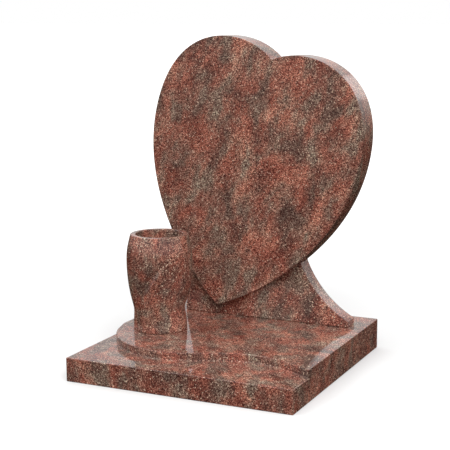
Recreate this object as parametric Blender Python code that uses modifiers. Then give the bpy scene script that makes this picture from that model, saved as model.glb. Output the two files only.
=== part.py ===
"""A small heart headstone of polished granite, in three stones.

A square base with a raised, curved platform carries a leaning heart on a hollow-flanked foot,
and a bored vase with a carved fold. Metres, +Z up, the front faces -Y. The origin is the middle
of the base's underside.
"""
import math

import bmesh
import bpy
from mathutils import Matrix, Vector

# Base
BASE_WIDTH = 0.600
BASE_DEPTH = 0.600
STEP_HEIGHT = 0.060
PLATFORM_RISE = 0.020
ARRIS = 0.0020
STONE_GAP = 0.0003

# How far a cutter reaches past what it cuts
CUT_PAST = 0.020

# Front edge of the platform, as distances from the base's left, right and front sides
BULGE_FROM_LEFT = 0.004
BULGE_RADIUS = 0.207
BULGE_RUN_OUT = math.radians(15)
BULGE_STEPS = 16
BULGE_FROM_FRONT = 0.083
HOLLOW_FROM_RIGHT = 0.168
HOLLOW_FROM_FRONT = 0.149
HOLLOW_EASE = 0.080
PLATFORM_END_FROM_FRONT = 0.092
PLATFORM_END_EASE = 0.060
PLATFORM_END_SLOPE = math.radians(-25)
EDGE_STEPS = 16

# Heart, measured in its own upright frame from its tip
HEART_WIDTH = 0.5912
HEART_SIDE_HEIGHT = 0.4687
HEART_CLEFT_HEIGHT = 0.6760
TIP_EASE = 0.0932
TIP_ANGLE = math.radians(28.3)
LOWER_SIDE_EASE = 0.2413
UPPER_SIDE_EASE = 0.2498
CLEFT_EASE = 0.1113
CLEFT_ANGLE = math.radians(35.0)
HEART_LEAN = math.radians(13.58)
TIP_ABOVE_PLATFORM = 0.0324
TIP_FROM_FOOT_END = 0.1079
HEART_STEPS = 26

# Slab of the headstone, and its foot
HEADSTONE_THICKNESS = 0.080
HEADSTONE_FROM_BACK = 0.072
HEART_PROUD = 0.029
FOOT_FROM_LEFT = 0.0838
FOOT_FROM_RIGHT = 0.0415
FOOT_END_HEIGHT = 0.016
RIGHT_FLANK_RADIUS = 0.2865
LEFT_FLANK_RADIUS = 1.800
FLANK_STEPS = 16

# Where the flanks end inside the heart, as shares of its half width and side height
RIGHT_FLANK_END = (0.575, 0.478)
LEFT_FLANK_END = (-0.368, 0.207)

# Vase, placed from the base's left side and from the front of the headstone
VASE_FROM_LEFT = 0.111
VASE_FROM_HEADSTONE = 0.0838
VASE_HEIGHT = 0.250
VASE_FOOT_RADIUS = 0.0695
VASE_WAIST_RADIUS = 0.0680
VASE_WAIST_HEIGHT = 0.050
VASE_BELLY_RADIUS = 0.0852
VASE_BELLY_BELOW_RIM = 0.070
VASE_RIM_RADIUS = 0.0750
VASE_WALL = 0.0140
VASE_FOOT_WALL = 0.0200
VASE_FLOOR = 0.030
BORE_NECK_BELOW_RIM = 0.140
VASE_SIDES = 84
FOOT_STEPS = 6
BELLY_STEPS = 19
SHOULDER_STEPS = 9

# How full the curves of the vase are, as shares of the height that they span
SHOULDER_FULL = 0.40
SHOULDER_LEAN = 0.10
SWELL_FULL = 0.60
FOOT_FULL = 0.33

# The fold carved in the vase climbs to the right. It is deepest along its middle line.
FOLD_MIDDLE = (math.radians(-88), 0.131)
FOLD_SLOPE = math.radians(49)
FOLD_TOP = 0.092
FOLD_BOTTOM = -0.105
FOLD_DEPTH = 0.0095
FOLD_WIDTH_TOP = 0.0075
FOLD_SPREAD = 0.09
FOLD_LOWER_SIDE = 1.2

# A soft hollow at the right of the waist, and a flat at the left of the foot
HOLLOW_MIDDLE = (math.radians(29), 0.058)
HOLLOW_SLOPE = math.radians(-27)
HOLLOW_DEPTH = 0.0050
HOLLOW_WIDTH = 0.018
HOLLOW_LENGTH = 0.085
FLAT_MIDDLE = math.radians(-126)
FLAT_HALF_ANGLE = math.radians(22)
FLAT_HEIGHT = 0.085
FLAT_DEPTH = 0.0040

GRANITE = (0.215, 0.085, 0.065)
GRANITE_ROUGHNESS = 0.12

WELD = 0.00001
SHARP_ANGLE = math.radians(40)
ARRIS_ANGLE = math.radians(35)


def new_collection(name):
    """Make a collection in the scene."""
    collection = bpy.data.collections.new(name)
    bpy.context.scene.collection.children.link(collection)
    return collection


def granite(name):
    """Polished red granite, one material for each stone."""
    material = bpy.data.materials.new(name)
    material.use_nodes = True
    shader = material.node_tree.nodes["Principled BSDF"]
    shader.inputs["Base Color"].default_value = (*GRANITE, 1.0)
    shader.inputs["Roughness"].default_value = GRANITE_ROUGHNESS
    shader.inputs["Metallic"].default_value = 0.0
    material.diffuse_color = (*GRANITE, 1.0)
    return material


def add_mesh(name, mesh, collection):
    """Put a mesh in the scene as a named object."""
    mesh.name = name
    piece = bpy.data.objects.new(name, mesh)
    collection.objects.link(piece)
    return piece


def curve_run(start, leave, arrive, end, steps):
    """Points along a cubic curve with two handles, without its end point."""
    points = []
    for step in range(steps):
        t = step / steps
        s = 1 - t
        points.append(s**3 * start + 3 * s * s * t * leave + 3 * s * t * t * arrive + t**3 * end)
    return points


def flat_stone(name, outline, thickness, collection):
    """A slab of an outline in its own XY plane, as a mesh that is centred on that plane."""
    curve = bpy.data.curves.new(name, "CURVE")
    curve.dimensions = "2D"
    curve.fill_mode = "BOTH"
    curve.extrude = thickness / 2
    spline = curve.splines.new("POLY")
    spline.points.add(len(outline) - 1)
    for point, place in zip(spline.points, outline):
        point.co = (place.x, place.y, 0, 1)
    spline.use_cyclic_u = True
    drawing = bpy.data.objects.new(name + "_outline", curve)
    collection.objects.link(drawing)
    depsgraph = bpy.context.evaluated_depsgraph_get()
    mesh = bpy.data.meshes.new_from_object(drawing.evaluated_get(depsgraph))
    bpy.data.objects.remove(drawing)
    welded = bmesh.new()
    welded.from_mesh(mesh)
    bmesh.ops.remove_doubles(welded, verts=welded.verts, dist=WELD)
    bmesh.ops.recalc_face_normals(welded, faces=welded.faces)
    welded.to_mesh(mesh)
    welded.free()
    return add_mesh(name, mesh, collection)


def stand_up(piece, front_y, back_y):
    """Turn a slab drawn in XY so that it stands in XZ between two depths."""
    turn = Matrix.Rotation(math.radians(90), 4, "X")
    piece.data.transform(Matrix.Translation((0, (front_y + back_y) / 2, 0)) @ turn)


def boolean(piece, other, operation):
    """Cut a stone by another shape, or join it to one."""
    modifier = piece.modifiers.new(operation.title(), "BOOLEAN")
    modifier.operation = operation
    modifier.solver = "EXACT"
    modifier.object = other


def as_cutter(piece):
    """Show a helper shape as a wire that is not rendered."""
    piece.hide_render = True
    piece.display_type = "WIRE"


def arris(piece):
    """Take the sharp edges off, as the polisher does."""
    bevel = piece.modifiers.new("Arris", "BEVEL")
    bevel.width = ARRIS
    bevel.segments = 2
    bevel.limit_method = "ANGLE"
    bevel.angle_limit = ARRIS_ANGLE
    bevel.use_clamp_overlap = False


def platform_top():
    """Height of the platform, on which the headstone and the vase stand."""
    return STEP_HEIGHT + PLATFORM_RISE


def platform_edge():
    """The cutter's outline: the platform's front edge, closed round the front of the base."""
    left, right = -BASE_WIDTH / 2, BASE_WIDTH / 2
    front = -BASE_DEPTH / 2
    centre = Vector((left + BULGE_FROM_LEFT + BULGE_RADIUS, front + BULGE_FROM_FRONT + BULGE_RADIUS))
    bulge = []
    for step in range(BULGE_STEPS):
        angle = BULGE_RUN_OUT + (math.pi / 2 - BULGE_RUN_OUT) * step / BULGE_STEPS
        bulge.append(centre - BULGE_RADIUS * Vector((math.cos(angle), math.sin(angle))))
    reach = (bulge[0].x - left + CUT_PAST) / math.sin(BULGE_RUN_OUT)
    run_out = bulge[0] + reach * Vector((-math.sin(BULGE_RUN_OUT), math.cos(BULGE_RUN_OUT)))

    nose = centre - Vector((0, BULGE_RADIUS))
    hollow = Vector((right - HOLLOW_FROM_RIGHT, front + HOLLOW_FROM_FRONT))
    end = Vector((right, front + PLATFORM_END_FROM_FRONT))
    ease = Vector((HOLLOW_EASE, 0))
    along = Vector((math.cos(PLATFORM_END_SLOPE), math.sin(PLATFORM_END_SLOPE)))
    past_end = end + along * CUT_PAST
    return [
        run_out,
        *bulge,
        *curve_run(nose, nose + ease, hollow - ease, hollow, EDGE_STEPS),
        *curve_run(hollow, hollow + ease, end - along * PLATFORM_END_EASE, end, EDGE_STEPS),
        past_end,
        Vector((past_end.x, front - CUT_PAST)),
        Vector((left - CUT_PAST, front - CUT_PAST)),
    ]


def make_base(parts, cutters):
    """A square block with its front rebated along the platform's curved edge."""
    block = bmesh.new()
    bmesh.ops.create_cube(block, size=1)
    size = Matrix.Diagonal((BASE_WIDTH, BASE_DEPTH, platform_top(), 1))
    block.transform(Matrix.Translation((0, 0, platform_top() / 2)) @ size)
    mesh = bpy.data.meshes.new("base")
    block.to_mesh(mesh)
    block.free()
    base = add_mesh("base", mesh, parts)

    cutter = flat_stone("front_rebate", platform_edge(), PLATFORM_RISE + CUT_PAST, cutters)
    cutter.data.transform(Matrix.Translation((0, 0, STEP_HEIGHT + (PLATFORM_RISE + CUT_PAST) / 2)))
    as_cutter(cutter)
    boolean(base, cutter, "DIFFERENCE")
    arris(base)
    base.data.materials.append(granite("base granite"))
    return base


def heart_place(share_across, share_up):
    """A place in the leaning heart, as shares of its half width and side height."""
    left = -BASE_WIDTH / 2
    tip = Vector((left + FOOT_FROM_LEFT + TIP_FROM_FOOT_END, platform_top() + TIP_ABOVE_PLATFORM))
    local = Vector((share_across * HEART_WIDTH / 2, share_up * HEART_SIDE_HEIGHT))
    local.rotate(Matrix.Rotation(-HEART_LEAN, 2))
    return tip + local


def heart_outline():
    """The leaning heart: two curves for the right half, and the same two mirrored."""
    half = HEART_WIDTH / 2
    tip = Vector((0, 0))
    cleft = Vector((0, HEART_CLEFT_HEIGHT))
    side = Vector((half, HEART_SIDE_HEIGHT))
    from_tip = Vector((math.cos(TIP_ANGLE), math.sin(TIP_ANGLE))) * TIP_EASE
    from_cleft = Vector((math.cos(CLEFT_ANGLE), math.sin(CLEFT_ANGLE))) * CLEFT_EASE
    down = Vector((0, -LOWER_SIDE_EASE))
    up = Vector((0, UPPER_SIDE_EASE))
    half_outline = curve_run(tip, from_tip, side + down, side, HEART_STEPS)
    half_outline += curve_run(side, side + up, cleft + from_cleft, cleft, HEART_STEPS)
    mirrored = [Vector((-p.x, p.y)) for p in half_outline[1:]]
    upright = half_outline + [cleft] + mirrored[::-1]
    return [heart_place(p.x / half, p.y / HEART_SIDE_HEIGHT) for p in upright]


def arc(start, end, radius, steps):
    """Points of the circular arc from start to end that bulges to the right of that way."""
    chord = end - start
    half = chord.length / 2
    radius = max(radius, half)
    aside = Vector((-chord.y, chord.x)).normalized()
    centre = (start + end) / 2 + aside * math.sqrt(radius**2 - half**2)
    first = start - centre
    turn = 2 * math.asin(half / radius)
    points = []
    for step in range(steps + 1):
        spoke = first.copy()
        spoke.rotate(Matrix.Rotation(turn * step / steps, 2))
        points.append(centre + spoke)
    return points


def foot_outline():
    """The foot: two short upright ends, and hollow flanks that run up into the heart."""
    bottom = platform_top() + STONE_GAP
    end_top = platform_top() + FOOT_END_HEIGHT
    left = -BASE_WIDTH / 2 + FOOT_FROM_LEFT
    right = BASE_WIDTH / 2 - FOOT_FROM_RIGHT
    right_end = Vector((right, end_top))
    left_end = Vector((left, end_top))
    right_flank = arc(heart_place(*RIGHT_FLANK_END), right_end, RIGHT_FLANK_RADIUS, FLANK_STEPS)
    left_flank = arc(left_end, heart_place(*LEFT_FLANK_END), LEFT_FLANK_RADIUS, FLANK_STEPS)
    return [Vector((right, bottom)), Vector((left, bottom))] + left_flank + right_flank


def headstone_front():
    """Depth of the heart's front face."""
    return BASE_DEPTH / 2 - HEADSTONE_FROM_BACK - HEADSTONE_THICKNESS


def make_headstone(parts, cutters):
    """One slab: the heart at full thickness, and the foot cut back at the front."""
    back = BASE_DEPTH / 2 - HEADSTONE_FROM_BACK
    front = headstone_front()
    foot_front = front + HEART_PROUD
    headstone = flat_stone("headstone", heart_outline(), HEADSTONE_THICKNESS, parts)
    stand_up(headstone, front, back)
    foot = flat_stone("foot_block", foot_outline(), back - foot_front, cutters)
    stand_up(foot, foot_front, back)
    as_cutter(foot)
    boolean(headstone, foot, "UNION")
    arris(headstone)
    headstone.data.materials.append(granite("headstone granite"))
    return headstone


def blend(edge_low, edge_high, value):
    """0 below the first edge, 1 above the second, and a smooth ramp between."""
    share = min(max((value - edge_low) / (edge_high - edge_low), 0), 1)
    return share * share * (3 - 2 * share)


def fold_depth(angle, height):
    """How deep the carved fold lies: one side turns down and in, the other up and out."""
    middle_angle, middle_height = FOLD_MIDDLE
    across = VASE_BELLY_RADIUS * (angle - middle_angle)
    up = height - middle_height
    along = across * math.cos(FOLD_SLOPE) + up * math.sin(FOLD_SLOPE)
    below = across * math.sin(FOLD_SLOPE) - up * math.cos(FOLD_SLOPE)
    width = FOLD_WIDTH_TOP + FOLD_SPREAD * max(FOLD_TOP - along, 0)
    strength = blend(FOLD_TOP, 0, along) * blend(FOLD_BOTTOM, FOLD_BOTTOM / 2, along)
    shape = blend(-width, 0, below) * blend(FOLD_LOWER_SIDE * width, 0, below)
    return FOLD_DEPTH * strength * shape


def hollow_depth(angle, height):
    """How deep the soft hollow at the right of the waist lies."""
    middle_angle, middle_height = HOLLOW_MIDDLE
    across = VASE_BELLY_RADIUS * (angle - middle_angle)
    up = height - middle_height
    along = across * math.cos(HOLLOW_SLOPE) + up * math.sin(HOLLOW_SLOPE)
    aside = up * math.cos(HOLLOW_SLOPE) - across * math.sin(HOLLOW_SLOPE)
    return HOLLOW_DEPTH * math.exp(-(aside / HOLLOW_WIDTH)**2 - (along / HOLLOW_LENGTH)**2)


def flat_depth(angle, height):
    """How much the flat at the left of the foot takes off."""
    aside = (angle - FLAT_MIDDLE) / FLAT_HALF_ANGLE
    if abs(aside) > 1:
        return 0
    return FLAT_DEPTH * (1 - aside * aside) * blend(FLAT_HEIGHT, FLAT_HEIGHT / 2, height)


def vase_outside():
    """Half section of the vase's outside, from the middle of its top down to its underside."""
    up = Vector((0, 1))
    out = Vector((1, 0))
    belly_height = VASE_HEIGHT - VASE_BELLY_BELOW_RIM
    rim = Vector((VASE_RIM_RADIUS, VASE_HEIGHT - ARRIS))
    belly = Vector((VASE_BELLY_RADIUS, belly_height))
    waist = Vector((VASE_WAIST_RADIUS, VASE_WAIST_HEIGHT))
    foot = Vector((VASE_FOOT_RADIUS, 0))
    below_rim = VASE_BELLY_BELOW_RIM * (SHOULDER_LEAN * out - SHOULDER_FULL * up)
    above_belly = VASE_BELLY_BELOW_RIM * SHOULDER_FULL * up
    swell = (belly_height - VASE_WAIST_HEIGHT) * SWELL_FULL * up
    ease = VASE_WAIST_HEIGHT * FOOT_FULL * up
    return [
        Vector((0, VASE_HEIGHT)),
        Vector((VASE_RIM_RADIUS - ARRIS, VASE_HEIGHT)),
        *curve_run(rim, rim + below_rim, belly + above_belly, belly, SHOULDER_STEPS),
        *curve_run(belly, belly - swell, waist + ease, waist, BELLY_STEPS),
        *curve_run(waist, waist - ease, foot + ease, foot, FOOT_STEPS),
        foot,
        Vector((0, 0)),
    ]


def vase_bore():
    """Half section of the hollow, from above the rim down to the vase's floor."""
    neck_radius = VASE_RIM_RADIUS - VASE_WALL
    foot_radius = VASE_WAIST_RADIUS - VASE_FOOT_WALL
    above = VASE_HEIGHT + CUT_PAST
    return [
        Vector((0, above)),
        Vector((neck_radius + ARRIS + CUT_PAST, above)),
        Vector((neck_radius, VASE_HEIGHT - ARRIS)),
        Vector((neck_radius, VASE_HEIGHT - BORE_NECK_BELOW_RIM)),
        Vector((foot_radius, VASE_FLOOR)),
        Vector((0, VASE_FLOOR)),
    ]


def lathe(name, half_section, collection):
    """Turn a half section round the upright axis into one closed mesh."""
    section = bpy.data.meshes.new(name)
    edges = [(index, index + 1) for index in range(len(half_section) - 1)]
    section.from_pydata([(p.x, 0, p.y) for p in half_section], edges, [])
    turned = bpy.data.objects.new(name + "_section", section)
    collection.objects.link(turned)
    screw = turned.modifiers.new("Lathe", "SCREW")
    screw.steps = VASE_SIDES
    screw.render_steps = VASE_SIDES
    screw.use_merge_vertices = True
    screw.merge_threshold = WELD
    depsgraph = bpy.context.evaluated_depsgraph_get()
    mesh = bpy.data.meshes.new_from_object(turned.evaluated_get(depsgraph))
    bpy.data.objects.remove(turned)
    welded = bmesh.new()
    welded.from_mesh(mesh)
    bmesh.ops.remove_doubles(welded, verts=welded.verts, dist=WELD)
    bmesh.ops.recalc_face_normals(welded, faces=welded.faces)
    welded.to_mesh(mesh)
    welded.free()
    return add_mesh(name, mesh, collection)


def carve(mesh):
    """Move the vase's outside in where the fold, the hollow and the flat take stone away."""
    for vertex in mesh.vertices:
        radius = math.hypot(vertex.co.x, vertex.co.y)
        if radius < WELD:
            continue
        angle = math.atan2(vertex.co.y, vertex.co.x)
        taken = fold_depth(angle, vertex.co.z)
        taken += hollow_depth(angle, vertex.co.z)
        taken += flat_depth(angle, vertex.co.z)
        vertex.co.x *= 1 - taken / radius
        vertex.co.y *= 1 - taken / radius


def make_vase(parts, cutters):
    """A turned vase, carved on its outside and then bored from above."""
    vase = lathe("vase", vase_outside(), parts)
    carve(vase.data)
    bore = lathe("vase_bore", vase_bore(), cutters)
    for piece in (vase, bore):
        piece.location.x = -BASE_WIDTH / 2 + VASE_FROM_LEFT
        piece.location.y = headstone_front() - VASE_FROM_HEADSTONE - VASE_BELLY_RADIUS
        piece.location.z = platform_top() + STONE_GAP
        piece.data.shade_smooth()
        piece.data.set_sharp_from_angle(angle=SHARP_ANGLE)
    as_cutter(bore)
    boolean(vase, bore, "DIFFERENCE")
    vase.data.materials.append(granite("vase granite"))
    return vase


def build():
    """Clear the scene and make the three stones."""
    for old in list(bpy.data.objects):
        bpy.data.objects.remove(old)
    parts = new_collection("heart headstone")
    cutters = new_collection("cutters")
    make_base(parts, cutters)
    make_headstone(parts, cutters)
    make_vase(parts, cutters)


build()
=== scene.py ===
# %% [markdown]
# A heart headstone of polished red granite.
#
# The real object is a small memorial of three stones: a square base with a raised, curved
# platform, a leaning heart on a hollow-flanked foot, and a bored vase with a carved fold.
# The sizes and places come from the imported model, so this script only makes the finish:
# smooth polished forms, and one granite that is cut in a different direction for each stone.

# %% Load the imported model
import math

import bmesh
import bpy
from mathutils import Matrix, Vector


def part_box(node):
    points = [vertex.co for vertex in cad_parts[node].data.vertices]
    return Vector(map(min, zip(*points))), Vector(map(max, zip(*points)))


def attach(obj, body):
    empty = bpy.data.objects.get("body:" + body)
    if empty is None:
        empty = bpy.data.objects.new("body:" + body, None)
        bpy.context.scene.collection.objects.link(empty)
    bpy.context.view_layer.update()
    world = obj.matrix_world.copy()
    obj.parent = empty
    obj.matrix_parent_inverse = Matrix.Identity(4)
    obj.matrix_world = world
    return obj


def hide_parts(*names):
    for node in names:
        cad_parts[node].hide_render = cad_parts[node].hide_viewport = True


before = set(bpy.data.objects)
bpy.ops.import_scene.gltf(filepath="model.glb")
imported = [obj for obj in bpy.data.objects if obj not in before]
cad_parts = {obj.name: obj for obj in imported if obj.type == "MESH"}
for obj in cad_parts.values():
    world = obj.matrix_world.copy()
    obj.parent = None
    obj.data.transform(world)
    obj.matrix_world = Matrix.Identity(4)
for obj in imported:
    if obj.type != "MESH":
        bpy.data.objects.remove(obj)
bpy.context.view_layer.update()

base_low, base_high = (Vector(corner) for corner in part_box("base"))
stone_low, stone_high = (Vector(corner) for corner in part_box("headstone"))
vase_low, vase_high = (Vector(corner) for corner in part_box("vase"))


def add_object(name, data):
    """Put a mesh, lamp or camera into the scene."""
    thing = bpy.data.objects.new(name, data)
    bpy.context.scene.collection.objects.link(thing)
    return thing


# %% [markdown]
# The camera stands in front of the right corner, a little above the heart's middle, and looks
# down by about twelve degrees. Its lens and shift were worked out from the square base, whose
# four corners meet the picture only where this camera is.

# %% Camera
CAMERA_PLACE = (1.2147, -2.5527, 0.8672)
CAMERA_DOWN = math.radians(11.71)
CAMERA_TURN = math.radians(24.506)
LENS_MM = 91.24
SENSOR_MM = 36.0
SHIFT = (-0.0499, 0.0704)

camera_data = bpy.data.cameras.new("camera")
camera_data.lens = LENS_MM
camera_data.sensor_width = SENSOR_MM
camera_data.shift_x, camera_data.shift_y = SHIFT
camera = add_object("camera", camera_data)
camera.location = CAMERA_PLACE
camera.rotation_euler = (math.radians(90) - CAMERA_DOWN, 0, CAMERA_TURN)
bpy.context.scene.camera = camera
print("camera", round(Vector(CAMERA_PLACE).length, 2), "m from the middle of the base")

# %% [markdown]
# A material here is a long sum of small steps. Written node by node it would hide its own
# meaning, so a socket gets Python's operators: an expression such as `1 - mask` adds the Math
# nodes that work it out. One method adds every other node. It takes the settings first, because
# some of them change which sockets the node has.

# %% A socket that does arithmetic
class Wire:
    """An output socket in a node tree."""

    def __init__(self, tree, socket=None):
        self.tree = tree
        self.socket = socket

    def add(self, kind, settings=None, sockets=None, out=0):
        """Add a node with settings, then values or links for its sockets by identifier."""
        node = self.tree.nodes.new(kind)
        for name, value in (settings or {}).items():
            if name == "stops":
                self.set_stops(node.color_ramp.elements, value)
            else:
                setattr(node, name, value)
        by_name = {socket.identifier: socket for socket in node.inputs}
        for name, value in (sockets or {}).items():
            if isinstance(value, Wire):
                self.tree.links.new(value.socket, by_name[name])
            else:
                by_name[name].default_value = value
        outputs = {socket.identifier: socket for socket in node.outputs}
        found = node.outputs[out] if isinstance(out, int) else outputs[out]
        return Wire(self.tree, found)

    @staticmethod
    def set_stops(elements, stops):
        """Give a colour ramp its places and colours."""
        for _ in range(len(stops) - len(elements)):
            elements.new(0.5)
        for element, (place, color) in zip(elements, stops):
            element.position = place
            element.color = (*color, 1.0)

    def feed(self, node, name):
        """Link this to a socket of a node that is already there."""
        self.tree.links.new(self.socket, node.inputs[name])

    def math(self, operation, first, second=0.0):
        """A Math node on two values."""
        sockets = {"Value": first, "Value_001": second}
        return self.add("ShaderNodeMath", {"operation": operation}, sockets)

    def __add__(self, other):
        return self.math("ADD", self, other)

    __radd__ = __add__

    def __sub__(self, other):
        return self.math("SUBTRACT", self, other)

    def __rsub__(self, other):
        return self.math("SUBTRACT", other, self)

    def __mul__(self, other):
        return self.math("MULTIPLY", self, other)

    __rmul__ = __mul__

    def __truediv__(self, other):
        return self.math("DIVIDE", self, other)

    def __rtruediv__(self, other):
        return self.math("DIVIDE", other, self)

    def smooth(self, low, high):
        """0 below low, 1 above high and a smooth ramp between."""
        settings = {"interpolation_type": "SMOOTHSTEP"}
        sockets = {"Value": self, "From Min": low, "From Max": high}
        return self.add("ShaderNodeMapRange", settings, sockets)

    def blend(self, first, second):
        """One colour where this is 0, another where it is 1."""
        sockets = {"Factor_Float": self, "A_Color": first, "B_Color": second}
        return self.add("ShaderNodeMix", {"data_type": "RGBA"}, sockets, "Result_Color")

    def vector(self, operation, sockets, out="Vector"):
        """A Vector Math node."""
        return self.add("ShaderNodeVectorMath", {"operation": operation}, sockets, out)


# %% [markdown]
# The floor is a plain pale sheet. Near the stone only the lamp lights it, so the soft shadow
# at the foot of the stone stays. Further out, where the lamp doesn't reach, the paint glows
# a little, or the far end would turn grey. The stone doesn't mirror the floor, which would
# turn every upright side pale.

# %% Floor
FLOOR_SIZE = 400.0
FLOOR_WHITE = (0.78, 0.78, 0.78, 1.0)
FLOOR_ROUGHNESS = 0.9
NO_GLOW = (0.0, 0.0, 0.0, 1.0)
FAR_GLOW = (0.45, 0.45, 0.45, 1.0)
FAR_FROM = (0.5, 2.5)


def floor_paint():
    """Matt white paint that glows a little further out."""
    paint = bpy.data.materials.new("floor paint")
    paint.use_nodes = True
    shader = paint.node_tree.nodes["Principled BSDF"]
    shader.inputs["Base Color"].default_value = FLOOR_WHITE
    shader.inputs["Roughness"].default_value = FLOOR_ROUGHNESS
    shader.inputs["Specular IOR Level"].default_value = 0.0
    shader.inputs["Emission Strength"].default_value = 1.0
    start = Wire(paint.node_tree)
    place = start.add("ShaderNodeTexCoord", out="Object")
    away = start.vector("LENGTH", {"Vector": place}, "Value")
    away.smooth(*FAR_FROM).blend(NO_GLOW, FAR_GLOW).feed(shader, "Emission Color")
    return paint


def make_floor():
    """A sheet under the stone that only the camera sees."""
    mesh = bpy.data.meshes.new("floor")
    grid = bmesh.new()
    bmesh.ops.create_grid(grid, x_segments=1, y_segments=1, size=FLOOR_SIZE / 2)
    grid.to_mesh(mesh)
    grid.free()
    mesh.materials.append(floor_paint())
    sheet = add_object("floor", mesh)
    sheet.visible_glossy = False
    sheet.visible_diffuse = False
    return sheet


floor = make_floor()
print("floor", FLOOR_SIZE, "m across")

# %% [markdown]
# Polished stone shows what it mirrors, so the surround matters as much as the material. Here
# it is white above a soft horizon, which lays the pale sheen over the flat tops. Below, it is
# dark and warm, so that upright faces keep their full colour. Two bright patches stand for
# soft lamps: a low one behind, which the heart's side band mirrors, and one overhead, which
# draws the light lines along the arrises. The camera itself sees plain white.

# %% Surround
HORIZON = (-0.20, 0.20)
ROUND_WHITE = 0.80
OVERHEAD = (0.35, 0.90)
OVERHEAD_WHITE = 0.25
LOWER_GREY = 0.05
LOWER_TINT = (1.0, 0.62, 0.45, 1.0)
UPPER_TINT = (1.0, 1.0, 1.0, 1.0)
# For each soft patch: how white it is, where it stands, and how near a ray must come to it
LOW_BEHIND = (0.9, (0.16, 0.94, 0.29), (0.985, 0.995))
ABOVE = (1.5, (-0.40, -0.20, 0.89), (0.93, 0.97))


def make_surround():
    """A world that is white above a soft horizon and dark below it."""
    world = bpy.data.worlds.new("studio")
    world.use_nodes = True
    start = Wire(world.node_tree)
    ray = start.add("ShaderNodeTexCoord", out="Generated")
    height = start.add("ShaderNodeSeparateXYZ", {}, {"Vector": ray}, "Z")
    upper = height.smooth(*HORIZON)
    light = LOWER_GREY + ROUND_WHITE * upper
    light = light + OVERHEAD_WHITE * height.smooth(*OVERHEAD)
    for white, towards, edge in (LOW_BEHIND, ABOVE):
        directions = {"Vector": ray, "Vector_001": Vector(towards).normalized()}
        nearness = start.vector("DOT_PRODUCT", directions, "Value")
        light = light + white * nearness.smooth(*edge)
    seen = start.add("ShaderNodeLightPath", out="Is Camera Ray")
    tint = start.math("MAXIMUM", upper, seen).blend(LOWER_TINT, UPPER_TINT)
    surround = world.node_tree.nodes["Background"]
    start.math("MAXIMUM", light, seen).feed(surround, "Strength")
    tint.feed(surround, "Color")
    return world


bpy.context.scene.world = make_surround()
print("surround", len(bpy.context.scene.world.node_tree.nodes), "nodes")

# %% [markdown]
# One large square lamp hangs high in front, at the right. It gives the heart's face its even
# light and throws a soft shadow back and to the left. It is too strong to be mirrored, so the
# stone doesn't show it. Colours go to the picture as they are, without a film look, because a
# film look would wash out the red.

# %% Key light
KEY_PLACE = Vector((1.5, -2.4, 2.7))
KEY_AIM = Vector((0.0, 0.0, 0.3))
KEY_SIZE = 2.0
KEY_POWER = 88.0

key_data = bpy.data.lights.new("key", "AREA")
key_data.shape = "SQUARE"
key_data.size = KEY_SIZE
key_data.energy = KEY_POWER
key = add_object("key", key_data)
key.location = KEY_PLACE
key.rotation_euler = (KEY_AIM - KEY_PLACE).to_track_quat("-Z", "Y").to_euler()
key.visible_glossy = False
bpy.context.scene.view_settings.view_transform = "Standard"
print("key light", round((KEY_AIM - KEY_PLACE).length, 2), "m away")

# %% [markdown]
# The mix of minerals in granite drifts in clouds that run through the block like wood grain.
# In this stone, colour and paleness drift apart from each other, so there are two noises. One
# goes from grey mica through brown to brick-red feldspar. The other makes a place paler or
# darker, whatever its colour. Both read the same stretched and slightly swirled space.

# %% Clouds
BRICK = (0.290, 0.088, 0.062, 1.0)
BROWN = (0.237, 0.092, 0.068, 1.0)
MICA = (0.176, 0.094, 0.073, 1.0)
MICA_TO_BROWN = (0.36, 0.52)
BROWN_TO_BRICK = (0.48, 0.64)
CLOUD = {"Scale": 24.0, "Detail": 2.0, "Roughness": 0.55}
PATCH = {"Scale": 18.0, "Detail": 3.0, "Roughness": 0.55}
PALENESS = [
    (0.34, (0.63, 0.61, 0.63)),
    (0.50, (0.98, 0.97, 0.97)),
    (0.68, (1.38, 1.64, 1.60)),
]
SWIRL = {"Scale": 7.0, "Detail": 1.0}
SWIRL_REACH = 0.06
STRETCH = (1.0, 1.0, 0.55)


def cloudy(start, block):
    """The colour of the clouds at a place in the block."""
    swirl = start.add("ShaderNodeTexNoise", {}, {"Vector": block, **SWIRL}, "Color")
    swirl = start.vector("SCALE", {"Vector": swirl, "Scale": SWIRL_REACH})
    drift = start.vector("ADD", {"Vector": block, "Vector_001": swirl})
    drawn = start.add("ShaderNodeMapping", {}, {"Vector": drift, "Scale": STRETCH})
    cloud = start.add("ShaderNodeTexNoise", {}, {"Vector": drawn, **CLOUD})
    grey_brown = cloud.smooth(*MICA_TO_BROWN).blend(MICA, BROWN)
    color = cloud.smooth(*BROWN_TO_BRICK).blend(grey_brown, BRICK)
    patch = start.add("ShaderNodeTexNoise", {}, {"Vector": drawn, **PATCH})
    paleness = start.add("ShaderNodeValToRGB", {"stops": PALENESS}, {"Fac": patch}, "Color")
    return start.vector("MULTIPLY", {"Vector": color, "Vector_001": paleness})


# %% [markdown]
# The clouds are cut into crystals, a little under two millimetres across. Voronoi cells do
# that: each cell picks a number, and a ramp turns it into how much lighter or darker than its
# cloud the crystal is, from nearly black to nearly white. A second, coarser set of cells
# picks out the few cream glints.

# %% Crystals
CRYSTALS_PER_METRE = 580.0
GLINTS_PER_METRE = 430.0
LIGHTNESS = [
    (0.00, (0.04, 0.04, 0.05)),
    (0.25, (0.38, 0.34, 0.36)),
    (0.55, (0.82, 0.78, 0.79)),
    (0.85, (1.55, 1.90, 1.85)),
    (1.00, (2.60, 3.80, 3.70)),
]
CREAM = (0.700, 0.520, 0.390, 1.0)
GLINT_FROM = (0.972, 0.980)


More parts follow.
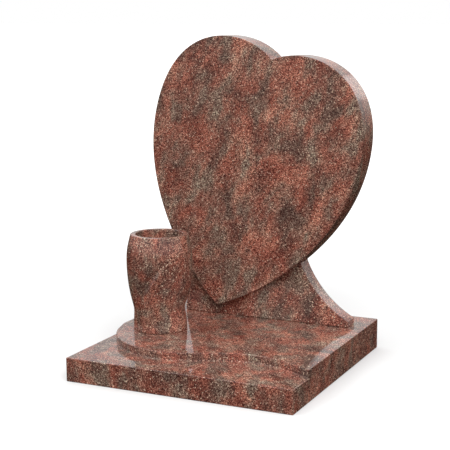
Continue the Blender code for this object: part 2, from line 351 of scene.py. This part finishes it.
def picked(start, block, scale, channel):
    """A number for each crystal, the same all over it."""
    cells = start.add("ShaderNodeTexVoronoi", {}, {"Vector": block, "Scale": scale}, "Color")
    return start.add("ShaderNodeSeparateColor", {}, {"Color": cells}, channel)


def grained(start, block, pick):
    """The clouds cut into crystals, with cream glints among them."""
    lightness = start.add("ShaderNodeValToRGB", {"stops": LIGHTNESS}, {"Fac": pick}, "Color")
    cut = {"Vector": cloudy(start, block), "Vector_001": lightness}
    glint = picked(start, block, GLINTS_PER_METRE, "Green")
    return glint.smooth(*GLINT_FROM).blend(start.vector("MULTIPLY", cut), CREAM)


# %% [markdown]
# All three stones come from one kind of block, turned and shifted before each is cut, so no
# two faces repeat. The polish is nearly a mirror. The darkest crystals are mica, which takes
# a duller polish than the rest, and a very faint waver keeps the mirror from looking like
# glass. The pattern is read from Object coordinates, so it runs through the stone, and the
# clouds on one face meet those on the next at the arris.

# %% Granite
POLISH = 0.03
DULLER = 0.06
MICA_PICKS = (0.05, 0.25)
WAVER = {"Scale": 300.0, "Detail": 1.0}
WAVER_BUMP = {"Strength": 0.1, "Distance": 0.00005}
GRANITE_IOR = 1.5
# For each stone: how its block is turned, and how far it is shifted
BASE_CUT = ((0.35, 0.25, 0.90), (0.64, 0.77, 2.32))
HEADSTONE_CUT = ((0.0, math.radians(-25), 0.0), (2.10, 2.89, 0.06))
VASE_CUT = ((0.5, 0.1, 0.3), (2.11, 0.77, 2.47))


def granite(name, turn, shift):
    """Polished granite, cut from its block in one direction."""
    material = bpy.data.materials.new(name)
    material.use_nodes = True
    shader = material.node_tree.nodes["Principled BSDF"]
    shader.inputs["IOR"].default_value = GRANITE_IOR
    start = Wire(material.node_tree)
    place = start.add("ShaderNodeTexCoord", out="Object")
    cut = {"Vector": place, "Rotation": turn, "Location": shift}
    block = start.add("ShaderNodeMapping", {}, cut)
    pick = picked(start, block, CRYSTALS_PER_METRE, "Red")
    roughness = POLISH + DULLER * (1 - pick.smooth(*MICA_PICKS))
    waver = start.add("ShaderNodeTexNoise", {}, {"Vector": block, **WAVER})
    relief = start.add("ShaderNodeBump", {}, {**WAVER_BUMP, "Height": waver})
    grained(start, block, pick).feed(shader, "Base Color")
    roughness.feed(shader, "Roughness")
    relief.feed(shader, "Normal")
    return material


base_granite = granite("base granite", *BASE_CUT)
headstone_granite = granite("headstone granite", *HEADSTONE_CUT)
vase_granite = granite("vase granite", *VASE_CUT)
print("granite", len(base_granite.node_tree.nodes), "nodes for each stone")

# %% [markdown]
# The base and the headstone are flat stock, so they are drawn as outlines and given their
# thickness. The outlines are the ones that the solids have, with more steps, because a
# polished curve shows every facet. Where two outlines meet, the slabs are joined or cut as
# solids, which a mason does with a saw.

# %% Curves and slabs
OUTLINE_STEPS = 72
CUT_PAST = 0.020


def curve_run(start, leave, arrive, end, steps=OUTLINE_STEPS):
    """Points along a cubic curve with two handles, without its end point."""
    points = []
    for step in range(steps):
        t = step / steps
        s = 1 - t
        points.append(s**3 * start + 3 * s * s * t * leave + 3 * s * t * t * arrive + t**3 * end)
    return points


def slab(name, outline, depth):
    """A closed slab of an outline in XY, from z = 0 up to its depth."""
    mesh = bpy.data.meshes.new(name)
    body = bmesh.new()
    lower = body.faces.new([body.verts.new((p.x, p.y, 0)) for p in outline])
    grown = bmesh.ops.extrude_face_region(body, geom=[lower])
    upper = [part for part in grown["geom"] if isinstance(part, bmesh.types.BMVert)]
    bmesh.ops.translate(body, verts=upper, vec=(0, 0, depth))
    bmesh.ops.recalc_face_normals(body, faces=body.faces)
    body.to_mesh(mesh)
    body.free()
    return add_object(name, mesh)


def keep_result(piece):
    """Give a piece the mesh that its modifiers make, and take them off."""
    depsgraph = bpy.context.evaluated_depsgraph_get()
    piece.data = bpy.data.meshes.new_from_object(piece.evaluated_get(depsgraph))
    piece.modifiers.clear()


def joined(piece, other, operation):
    """Cut or join two solids, and give the result's mesh to the first."""
    modifier = piece.modifiers.new("cut", "BOOLEAN")
    modifier.operation = operation
    modifier.solver = "EXACT"
    modifier.object = other
    keep_result(piece)
    bpy.data.objects.remove(other)


# %% [markdown]
# A mason takes the sharp edge, the arris, off every polished stone. A narrow bevel does that
# here, only where two faces meet at an angle. Its normals are hardened, so that the flats stay
# flat mirrors and all the bend is in the arris.

# %% Arrises
ARRIS = 0.0020
ARRIS_SEGMENTS = 3
ARRIS_FROM = math.radians(30)


def polish(piece, material):
    """Round the arrises, keep the flats flat, and give the stone its granite."""
    bevel = piece.modifiers.new("arris", "BEVEL")
    bevel.width = ARRIS
    bevel.segments = ARRIS_SEGMENTS
    bevel.limit_method = "ANGLE"
    bevel.angle_limit = ARRIS_FROM
    bevel.use_clamp_overlap = False
    bevel.harden_normals = True
    piece.data.shade_smooth()
    piece.data.materials.clear()
    piece.data.materials.append(material)


# %% [markdown]
# The base is one block, cut down at the front to a step. A bulge at the left carries the vase,
# and the platform's edge runs from it in an S to the right side. The edge is drawn as an arc
# that runs out over the left side and two smooth curves, and the outline goes on round the
# stone that is cut away.

# %% Platform edge
PLATFORM_RISE = 0.020
BULGE_FROM_LEFT = 0.004
BULGE_RADIUS = 0.207
BULGE_FROM_FRONT = 0.083
BULGE_RUN_OUT = math.radians(15)
HOLLOW_FROM_RIGHT = 0.168
HOLLOW_FROM_FRONT = 0.149
HOLLOW_EASE = 0.080
PLATFORM_END_FROM_FRONT = 0.092
PLATFORM_END_EASE = 0.060
PLATFORM_END_SLOPE = math.radians(-25)


def along_angle(angle):
    """The direction at an angle from the X axis."""
    return Vector((math.cos(angle), math.sin(angle)))


def platform_edge():
    """The outline of the stone that is cut away in front of the platform."""
    left, right, front = base_low.x, base_high.x, base_low.y
    from_left, from_front = BULGE_FROM_LEFT + BULGE_RADIUS, BULGE_FROM_FRONT + BULGE_RADIUS
    centre = Vector((left + from_left, front + from_front))
    bulge = []
    for step in range(OUTLINE_STEPS):
        angle = BULGE_RUN_OUT + (math.pi / 2 - BULGE_RUN_OUT) * step / OUTLINE_STEPS
        bulge.append(centre - BULGE_RADIUS * along_angle(angle))
    reach = (bulge[0].x - left + CUT_PAST) / math.sin(BULGE_RUN_OUT)
    run_out = bulge[0] + reach * along_angle(math.pi / 2 + BULGE_RUN_OUT)
    nose = centre - Vector((0, BULGE_RADIUS))
    hollow = Vector((right - HOLLOW_FROM_RIGHT, front + HOLLOW_FROM_FRONT))
    end = Vector((right, front + PLATFORM_END_FROM_FRONT))
    ease = Vector((HOLLOW_EASE, 0))
    slope = along_angle(PLATFORM_END_SLOPE)
    past_end = end + slope * CUT_PAST
    return [
        run_out,
        *bulge,
        *curve_run(nose, nose + ease, hollow - ease, hollow),
        *curve_run(hollow, hollow + ease, end - slope * PLATFORM_END_EASE, end),
        past_end,
        Vector((past_end.x, front - CUT_PAST)),
        Vector((left - CUT_PAST, front - CUT_PAST)),
    ]


# %% Base
def make_base():
    """The block, cut down to its step along the platform's edge."""
    low, high = base_low, base_high
    corners = [(low.x, low.y), (high.x, low.y), (high.x, high.y), (low.x, high.y)]
    base = slab("base stone", [Vector(corner) for corner in corners], high.z)
    cutter = slab("rebate", platform_edge(), PLATFORM_RISE + CUT_PAST)
    cutter.data.transform(Matrix.Translation((0, 0, high.z - PLATFORM_RISE)))
    joined(base, cutter, "DIFFERENCE")
    base.name = "base_stone"
    return base


base_stone = make_base()
polish(base_stone, base_granite)
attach(base_stone, "root")
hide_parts("base")
print("base", len(base_stone.data.polygons), "faces before its arris")

# %% [markdown]
# The heart is symmetrical about its own axis: two curves make one half, and the same two
# mirrored make the other. It is then leaned to the right about its tip.

# %% Heart
HEART_WIDTH = 0.5912
HEART_SIDE_HEIGHT = 0.4687
HEART_CLEFT_HEIGHT = 0.6760
TIP_EASE = 0.0932
TIP_ANGLE = math.radians(28.3)
LOWER_SIDE_EASE = 0.2413
UPPER_SIDE_EASE = 0.2498
CLEFT_EASE = 0.1113
CLEFT_ANGLE = math.radians(35.0)
HEART_LEAN = math.radians(13.58)
FOOT_FROM_LEFT = 0.0838
TIP_FROM_FOOT_END = 0.1079
TIP_ABOVE_PLATFORM = 0.0324


def heart_place(share_across, share_up):
    """A place in the leaning heart, as shares of its half width and side height."""
    tip_x = base_low.x + FOOT_FROM_LEFT + TIP_FROM_FOOT_END
    tip = Vector((tip_x, base_high.z + TIP_ABOVE_PLATFORM))
    local = Vector((share_across * HEART_WIDTH / 2, share_up * HEART_SIDE_HEIGHT))
    local.rotate(Matrix.Rotation(-HEART_LEAN, 2))
    return tip + local


def heart_outline():
    """The leaning heart's outline."""
    half = HEART_WIDTH / 2
    tip = Vector((0, 0))
    cleft = Vector((0, HEART_CLEFT_HEIGHT))
    side = Vector((half, HEART_SIDE_HEIGHT))
    from_tip = along_angle(TIP_ANGLE) * TIP_EASE
    from_cleft = along_angle(CLEFT_ANGLE) * CLEFT_EASE
    down = Vector((0, -LOWER_SIDE_EASE))
    up = Vector((0, UPPER_SIDE_EASE))
    half_outline = curve_run(tip, from_tip, side + down, side)
    half_outline += curve_run(side, side + up, cleft + from_cleft, cleft)
    mirrored = [Vector((-p.x, p.y)) for p in half_outline[1:]]
    upright = half_outline + [cleft] + mirrored[::-1]
    return [heart_place(p.x / half, p.y / HEART_SIDE_HEIGHT) for p in upright]


# %% [markdown]
# The foot's flanks are hollow arcs that run up into the heart. The right one is deep, and the
# left one is nearly straight. Each ends inside the heart, so the two outlines cross cleanly.

# %% Foot
STONE_GAP = 0.0003
FOOT_FROM_RIGHT = 0.0415
FOOT_END_HEIGHT = 0.016
RIGHT_FLANK_RADIUS = 0.2865
LEFT_FLANK_RADIUS = 1.800
RIGHT_FLANK_END = (0.575, 0.478)
LEFT_FLANK_END = (-0.368, 0.207)


def arc(start, end, radius, steps=OUTLINE_STEPS):
    """Points of the circular arc from start to end that bulges to the right of that way."""
    chord = end - start
    half = chord.length / 2
    aside = Vector((-chord.y, chord.x)).normalized()
    centre = (start + end) / 2 + aside * math.sqrt(radius**2 - half**2)
    turn = 2 * math.asin(half / radius)
    points = []
    for step in range(steps + 1):
        spoke = start - centre
        spoke.rotate(Matrix.Rotation(turn * step / steps, 2))
        points.append(centre + spoke)
    return points


def foot_outline():
    """The foot, with hollow flanks that run up into the heart."""
    bottom = base_high.z + STONE_GAP
    end_top = base_high.z + FOOT_END_HEIGHT
    left = base_low.x + FOOT_FROM_LEFT
    right = base_high.x - FOOT_FROM_RIGHT
    right_end, left_end = Vector((right, end_top)), Vector((left, end_top))
    right_flank = arc(heart_place(*RIGHT_FLANK_END), right_end, RIGHT_FLANK_RADIUS)
    left_flank = arc(left_end, heart_place(*LEFT_FLANK_END), LEFT_FLANK_RADIUS)
    return [Vector((right, bottom)), Vector((left, bottom))] + left_flank + right_flank


# %% [markdown]
# Heart and foot are one stone. The foot is cut back in front, so that the heart stands proud,
# and both are flush behind. Two faces in one plane join badly, so both slabs are made too
# deep, each by its own amount, and the joined stone is sawn off flat at its back.

# %% Headstone
HEART_PROUD = 0.029


def stand_up(piece, back_y):
    """Stand a slab up, with its far face at a depth."""
    turn = Matrix.Rotation(math.radians(90), 4, "X")
    piece.data.transform(Matrix.Translation((0, back_y, 0)) @ turn)


def saw_back(piece, back_y):
    """Saw a piece off flat at a depth, and close the cut with one face."""
    body = bmesh.new()
    body.from_mesh(piece.data)
    whole = body.verts[:] + body.edges[:] + body.faces[:]
    plane = {"plane_co": (0, back_y, 0), "plane_no": (0, 1, 0)}
    cut = bmesh.ops.bisect_plane(body, geom=whole, clear_outer=True, **plane)
    rim = [part for part in cut["geom_cut"] if isinstance(part, bmesh.types.BMEdge)]
    bmesh.ops.contextual_create(body, geom=rim)
    bmesh.ops.recalc_face_normals(body, faces=body.faces)
    body.to_mesh(piece.data)
    body.free()


def make_headstone():
    """The heart at full thickness, joined with the foot, which is cut back in front."""
    thickness = stone_high.y - stone_low.y
    stone = slab("heart_and_foot", heart_outline(), thickness + CUT_PAST)
    stand_up(stone, stone_high.y + CUT_PAST)
    foot = slab("foot", foot_outline(), thickness - HEART_PROUD + 2 * CUT_PAST)
    stand_up(foot, stone_high.y + 2 * CUT_PAST)
    joined(stone, foot, "UNION")
    saw_back(stone, stone_high.y)
    return stone


headstone = make_headstone()
polish(headstone, headstone_granite)
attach(headstone, "root")
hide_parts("headstone")
print("headstone", len(headstone.data.polygons), "faces before its arris")

# %% [markdown]
# The vase is turned, as the real one is on a lathe: a half section goes round the axis. The
# section climbs the outside from the middle of the underside, over the waist, the belly and
# the shoulder to the rim, and goes down the bore to its floor.

# %% Vase sizes
VASE_WALL = 0.0140
VASE_FOOT_WALL = 0.0200
VASE_FLOOR = 0.030
BORE_NECK_BELOW_RIM = 0.140
VASE_FOOT_RADIUS = 0.0695
VASE_WAIST_RADIUS = 0.0680
VASE_WAIST_HEIGHT = 0.050
VASE_BELLY_RADIUS = 0.0852
VASE_BELLY_BELOW_RIM = 0.070
VASE_RIM_RADIUS = 0.0750
SHOULDER_FULL = 0.40
SHOULDER_LEAN = 0.10
SWELL_FULL = 0.60
FOOT_FULL = 0.33
vase_height = vase_high.z - vase_low.z
vase_place = Vector(((vase_low.x + vase_high.x) / 2, (vase_low.y + vase_high.y) / 2, vase_low.z))
print("vase", vase_height, "m high, stands at", vase_place)

# %% Vase section
UNDERSIDE_RING = 0.03
FLOOR_RING = 0.7
ARRIS_STEPS = 4
FOOT_STEPS = 20
SWELL_STEPS = 52
SHOULDER_STEPS = 28
BORE_STEPS = 14
TAPER_STEPS = 8
OUT = Vector((1, 0))
UP = Vector((0, 1))


def vase_outside():
    """The outside, from the underside's middle to the edge of the rim."""
    belly_height = vase_height - VASE_BELLY_BELOW_RIM
    foot = Vector((VASE_FOOT_RADIUS, 0))
    foot_edge = foot + ARRIS * UP
    waist = Vector((VASE_WAIST_RADIUS, VASE_WAIST_HEIGHT))
    belly = Vector((VASE_BELLY_RADIUS, belly_height))
    rim = Vector((VASE_RIM_RADIUS, vase_height - ARRIS))
    edge = Vector((VASE_RIM_RADIUS, vase_height)) - ARRIS * OUT
    ease = VASE_WAIST_HEIGHT * FOOT_FULL * UP
    swell = (belly_height - VASE_WAIST_HEIGHT) * SWELL_FULL * UP
    above_belly = VASE_BELLY_BELOW_RIM * SHOULDER_FULL * UP
    below_rim = VASE_BELLY_BELOW_RIM * (SHOULDER_LEAN * OUT - SHOULDER_FULL * UP)
    half_out, half_up = ARRIS / 2 * OUT, ARRIS / 2 * UP
    under = [Vector((0, 0)), Vector((UNDERSIDE_RING, 0)), foot - 2 * ARRIS * OUT]
    return [
        *under,
        *curve_run(foot - ARRIS * OUT, foot - half_out, foot + half_up, foot_edge, ARRIS_STEPS),
        *curve_run(foot_edge, foot + ease, waist - ease, waist, FOOT_STEPS),
        *curve_run(waist, waist + ease, belly - swell, belly, SWELL_STEPS),
        *curve_run(belly, belly + above_belly, rim + below_rim, rim, SHOULDER_STEPS),
        *curve_run(rim, rim + half_up, edge + half_out, edge, ARRIS_STEPS),
    ]


def vase_inside():
    """The rim's top and the bore, down to the middle of its floor."""
    neck = VASE_RIM_RADIUS - VASE_WALL
    edge = Vector((VASE_RIM_RADIUS, vase_height)) - ARRIS * OUT
    lip = Vector((neck + ARRIS, vase_height))
    neck_top = Vector((neck, vase_height - ARRIS))
    neck_end = Vector((neck, vase_height - BORE_NECK_BELOW_RIM))
    bore_foot = Vector((VASE_WAIST_RADIUS - VASE_FOOT_WALL, VASE_FLOOR))
    middle = Vector((0, VASE_FLOOR))
    half_out, half_up = ARRIS / 2 * OUT, ARRIS / 2 * UP
    neck_run, taper = neck_end - neck_top, bore_foot - neck_end
    return [
        edge,
        (edge + lip) / 2,
        *curve_run(lip, lip - half_out, neck_top + half_up, neck_top, ARRIS_STEPS),
        *[neck_top + neck_run * step / BORE_STEPS for step in range(BORE_STEPS + 1)],
        *[neck_end + taper * step / TAPER_STEPS for step in range(1, TAPER_STEPS + 1)],
        bore_foot * FLOOR_RING + middle * (1 - FLOOR_RING),
        middle,
    ]


# %% Turning
VASE_SIDES = 200


def turn_vase():
    """Take the half section round the axis, with a mark on the points of the outside."""
    outside, inside = vase_outside(), vase_inside()
    mesh = bpy.data.meshes.new("vase_turned")
    body = bmesh.new()
    mark = body.verts.layers.float.new("outside")
    rings = []
    for index, point in enumerate(outside + inside):
        ring = []
        for side in range(VASE_SIDES if point.x > 0 else 1):
            angle = math.tau * side / VASE_SIDES
            place = (point.x * math.cos(angle), point.x * math.sin(angle), point.y)
            vertex = body.verts.new(place)
            vertex[mark] = 1.0 if index < len(outside) else 0.0
            ring.append(vertex)
        rings.append(ring)
    for low, high in zip(rings, rings[1:]):
        for side in range(VASE_SIDES):
            following = (side + 1) % VASE_SIDES
            corners = [low[side % len(low)], low[following % len(low)],
                       high[following % len(high)], high[side % len(high)]]
            body.faces.new(list(dict.fromkeys(corners)))
    bmesh.ops.recalc_face_normals(body, faces=body.faces)
    body.to_mesh(mesh)
    body.free()
    return add_object("vase_stone", mesh)


vase_stone = turn_vase()
print("turned", len(vase_stone.data.vertices), "points")

# %% [markdown]
# The carving on the vase follows a rule, so Geometry Nodes do it: each point of the outside
# moves in by a depth that depends on its angle and height alone. The fold is a valley that
# climbs round the belly and widens on its way down. A shallow hollow runs up the right side,
# and the left of the foot is dressed flat. Every size is a named input of the tree.

# %% Carving sizes
CARVING = {
    "Belly radius": VASE_BELLY_RADIUS,
    "Fold angle": math.radians(-88),
    "Fold height": 0.131,
    "Fold slope": math.radians(49),
    "Fold top": 0.092,
    "Fold bottom": -0.105,
    "Fold depth": 0.0110,
    "Fold width at top": 0.0075,
    "Fold spread": 0.080,
    "Fold lower side": 1.2,
    "Hollow angle": math.radians(29),
    "Hollow height": 0.058,
    "Hollow slope": math.radians(-27),
    "Hollow depth": 0.0050,
    "Hollow width": 0.018,
    "Hollow length": 0.085,
    "Flat angle": math.radians(-126),
    "Flat half angle": math.radians(22),
    "Flat height": 0.085,
    "Flat depth": 0.0040,
}


# %% Fold, hollow and flat
def slanted(start, across, up, slope):
    """How far a point is along a slanting line, and how far above it."""
    cosine = start.math("COSINE", slope)
    sine = start.math("SINE", slope)
    return across * cosine + up * sine, up * cosine - across * sine


def fold_depth(start, size, angle, z):
    """A valley that widens from its top end, with a steeper wall above than below."""
    across = size["Belly radius"] * (angle - size["Fold angle"])
    along, above = slanted(start, across, z - size["Fold height"], size["Fold slope"])
    below = 0 - above
    run = start.math("MAXIMUM", size["Fold top"] - along, 0.0)
    width = size["Fold width at top"] + size["Fold spread"] * run
    top_fade = along.smooth(size["Fold top"], 0.0)
    bottom_fade = along.smooth(size["Fold bottom"], size["Fold bottom"] / 2)
    upper_side = below.smooth(0 - width, 0.0)
    lower_side = below.smooth(size["Fold lower side"] * width, 0.0)
    return size["Fold depth"] * top_fade * bottom_fade * upper_side * lower_side


def hollow_depth(start, size, angle, z):
    """A long shallow dish."""
    across = size["Belly radius"] * (angle - size["Hollow angle"])
    along, above = slanted(start, across, z - size["Hollow height"], size["Hollow slope"])
    along = along / size["Hollow length"]
    above = above / size["Hollow width"]
    spread = along * along + above * above
    return size["Hollow depth"] * start.math("EXPONENT", 0 - spread)


def flat_depth(start, size, angle, z):
    """A flat at the foot, deepest in its middle."""
    aside = (angle - size["Flat angle"]) / size["Flat half angle"]
    round_off = start.math("MAXIMUM", 1 - aside * aside, 0.0)
    low_down = z.smooth(size["Flat height"], size["Flat height"] / 2)
    return size["Flat depth"] * round_off * low_down


# %% Carving tree
def carving_tree():
    """A tree that moves the outside in along the fold, the hollow and the flat."""
    tree = bpy.data.node_groups.new("carve the vase", "GeometryNodeTree")
    tree.interface.new_socket("Geometry", in_out="INPUT", socket_type="NodeSocketGeometry")
    for name in CARVING:
        tree.interface.new_socket(name, in_out="INPUT", socket_type="NodeSocketFloat")
    tree.interface.new_socket("Material", in_out="INPUT", socket_type="NodeSocketMaterial")
    tree.interface.new_socket("Geometry", in_out="OUTPUT", socket_type="NodeSocketGeometry")
    entry = tree.nodes.new("NodeGroupInput")
    size = {socket.name: Wire(tree, socket) for socket in entry.outputs}
    start = Wire(tree)
    place = start.add("GeometryNodeInputPosition")
    x, y, z = (start.add("ShaderNodeSeparateXYZ", {}, {"Vector": place}, axis) for axis in "XYZ")
    angle = start.math("ARCTAN2", y, x)

    depth = fold_depth(start, size, angle, z)
    depth = depth + hollow_depth(start, size, angle, z)
    depth = depth + flat_depth(start, size, angle, z)
    mark = {"Name": "outside"}
    kind = {"data_type": "FLOAT"}
    depth = depth * start.add("GeometryNodeInputNamedAttribute", kind, mark, "Attribute")
    inwards = start.add("ShaderNodeCombineXYZ", {}, {"X": 0 - x, "Y": 0 - y})
    inwards = start.vector("NORMALIZE", {"Vector": inwards})
    shift = start.vector("SCALE", {"Vector": inwards, "Scale": depth})

    moved = {"Geometry": size["Geometry"], "Offset": shift}
    carved = start.add("GeometryNodeSetPosition", {}, moved)
    real = start.add("GeometryNodeRealizeInstances", {}, {"Geometry": carved})
    dressed = {"Geometry": real, "Material": size["Material"]}
    done = start.add("GeometryNodeSetMaterial", {}, dressed)
    done.feed(tree.nodes.new("NodeGroupOutput"), 0)
    return tree


# %% Vase
def carve(vase, tree, material):
    """Run the carving tree on the turned vase and keep its result as a plain mesh."""
    modifier = vase.modifiers.new("carving", "NODES")
    modifier.node_group = tree
    values = {**CARVING, "Material": material}
    for item in tree.interface.items_tree:
        if item.in_out == "INPUT" and item.name in values:
            modifier[item.identifier] = values[item.name]
    keep_result(vase)
    vase.data.transform(Matrix.Translation(vase_place))
    vase.data.shade_smooth()


carve(vase_stone, carving_tree(), vase_granite)
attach(vase_stone, "root")
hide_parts("vase")
print("vase", len(vase_stone.data.polygons), "faces, from", vase_low, "to", vase_high)
